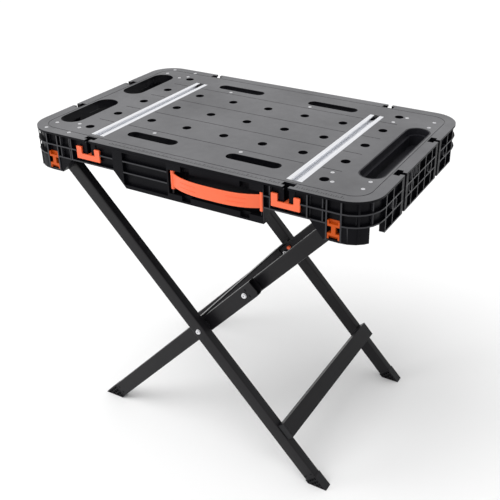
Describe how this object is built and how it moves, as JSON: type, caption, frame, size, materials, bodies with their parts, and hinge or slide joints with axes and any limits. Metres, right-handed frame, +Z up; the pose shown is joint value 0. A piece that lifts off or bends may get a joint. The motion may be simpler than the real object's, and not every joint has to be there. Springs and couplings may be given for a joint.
{
  "type": "folding sawhorse workbench",
  "caption": "Folding sawhorse with a moulded bench top that has dog holes, T-tracks, clamp slots, a tool tray, a carrying strap and crossed steel legs.",
  "frame": {"origin": "on the floor, under the middle of the bounding box", "axes": "+X along the deck, from the end with two slots to the end with the tool tray; +Y across it, from the handle to the back; +Z up"},
  "size_m": [0.832, 0.539, 0.757],
  "materials": {
    "deck_plastic": "moulded, with a fine grain on the top face",
    "black_plastic": "moulded, satin black",
    "orange_plastic": "moulded, slightly glossy",
    "key_plastic": "moulded, amber orange",
    "leg_steel": "powder-coated, anthracite",
    "foot_plastic": "moulded, black",
    "track_aluminium": "anodised, silver",
    "zinc_steel": "zinc-plated"
  },
  "bodies": {
    "deck": {"deck_top": "deck_plastic", "tool_tray": "black_plastic", "rail_front_left": "black_plastic", "rail_front_right": "black_plastic", "rail_back": "black_plastic", "handle_housing": "black_plastic", "t_track_left": "track_aluminium", "t_track_right": "track_aluminium", "track_stop_left": "black_plastic", "track_stop_right": "black_plastic", "end_panel_left": "black_plastic", "end_panel_right": "black_plastic", "corner_block_front_left": "black_plastic", "corner_block_back_left": "black_plastic", "corner_block_front_right": "black_plastic", "corner_block_back_right": "black_plastic", "handle_strap": "orange_plastic", "handle_pin_left": "leg_steel", "handle_pin_right": "leg_steel", "leg_bracket_front": "zinc_steel", "leg_pin_front": "zinc_steel", "link_bracket_front": "zinc_steel", "link_pin_front": "zinc_steel", "leg_bracket_back": "zinc_steel", "leg_pin_back": "zinc_steel", "link_bracket_back": "zinc_steel", "link_pin_back": "zinc_steel"},
    "key_front_left": {"connector_key_front_left": "key_plastic"},
    "slider_front_left": {"notch_slider_front_left": "orange_plastic"},
    "key_back_left": {"connector_key_back_left": "key_plastic"},
    "slider_back_left": {"notch_slider_back_left": "orange_plastic"},
    "key_front_right": {"connector_key_front_right": "key_plastic"},
    "slider_front_right": {"notch_slider_front_right": "orange_plastic"},
    "key_back_right": {"connector_key_back_right": "key_plastic"},
    "slider_back_right": {"notch_slider_back_right": "orange_plastic"},
    "outer_frame": {"outer_leg_front": "leg_steel", "outer_foot_front": "foot_plastic", "crossing_bolt_front": "zinc_steel", "crossing_bush_front": "foot_plastic", "crossbar_cap_front": "foot_plastic", "outer_leg_back": "leg_steel", "outer_foot_back": "foot_plastic", "crossing_bolt_back": "zinc_steel", "crossing_bush_back": "foot_plastic", "crossbar_cap_back": "foot_plastic", "lower_crossbar": "leg_steel"},
    "inner_frame": {"inner_leg_front": "leg_steel", "inner_foot_front": "foot_plastic", "knee_bolt_front": "zinc_steel", "knee_plug_front": "foot_plastic", "inner_leg_back": "leg_steel", "inner_foot_back": "foot_plastic", "knee_bolt_back": "zinc_steel", "knee_plug_back": "foot_plastic", "cross_plate": "leg_steel"},
    "link_front": {"upper_link_front": "leg_steel"},
    "button_front": {"lock_button_front": "orange_plastic"},
    "link_back": {"upper_link_back": "leg_steel"},
    "button_back": {"lock_button_back": "orange_plastic"}
  },
  "joints": [
    {"name": "leg_fold", "type": "hinge", "parent": "deck", "child": "outer_frame", "pos_m": [-0.334, 0.0095, 0.684], "axis": [0, -1, 0], "range_deg": [0, 44.82]},
    {"name": "crossing_turn", "type": "hinge", "parent": "outer_frame", "child": "inner_frame", "pos_m": [0, 0.0095, 0.328], "axis": [0, -1, 0], "range_deg": [0, 84.42]},
    {"name": "link_turn_front", "type": "hinge", "parent": "deck", "child": "link_front", "pos_m": [0.334, -0.154, 0.684], "axis": [0, 1, 0], "range_deg": [0, 45.71]},
    {"name": "link_turn_back", "type": "hinge", "parent": "deck", "child": "link_back", "pos_m": [0.334, 0.173, 0.684], "axis": [0, 1, 0], "range_deg": [0, 45.71]},
    {"name": "button_press_front", "type": "slide", "parent": "inner_frame", "child": "button_front", "axis": [0, -1, 0], "range_m": [0, 0.004], "stiffness_N_per_m": 600, "springref_m": -0.002},
    {"name": "button_press_back", "type": "slide", "parent": "inner_frame", "child": "button_back", "axis": [0, 1, 0], "range_m": [0, 0.004], "stiffness_N_per_m": 600, "springref_m": -0.002},
    {"name": "key_pull_front_left", "type": "slide", "parent": "deck", "child": "key_front_left", "axis": [0, -1, 0], "range_m": [0, 0.02]},
    {"name": "key_pull_back_left", "type": "slide", "parent": "deck", "child": "key_back_left", "axis": [0, 1, 0], "range_m": [0, 0.02]},
    {"name": "key_pull_front_right", "type": "slide", "parent": "deck", "child": "key_front_right", "axis": [0, -1, 0], "range_m": [0, 0.02]},
    {"name": "key_pull_back_right", "type": "slide", "parent": "deck", "child": "key_back_right", "axis": [0, 1, 0], "range_m": [0, 0.02]},
    {"name": "slider_lift_front_left", "type": "slide", "parent": "deck", "child": "slider_front_left", "axis": [0, 0, 1], "range_m": [0, 0.01]},
    {"name": "slider_lift_back_left", "type": "slide", "parent": "deck", "child": "slider_back_left", "axis": [0, 0, 1], "range_m": [0, 0.01]},
    {"name": "slider_lift_front_right", "type": "slide", "parent": "deck", "child": "slider_front_right", "axis": [0, 0, 1], "range_m": [0, 0.01]},
    {"name": "slider_lift_back_right", "type": "slide", "parent": "deck", "child": "slider_back_right", "axis": [0, 0, 1], "range_m": [0, 0.01]}
  ],
  "couplings": [
    {"joint": "crossing_turn", "follows": "leg_fold", "ratio": 1.8834},
    {"joint": "link_turn_front", "follows": "leg_fold", "ratio": 1.0197},
    {"joint": "link_turn_back", "follows": "leg_fold", "ratio": 1.0197}
  ]
}
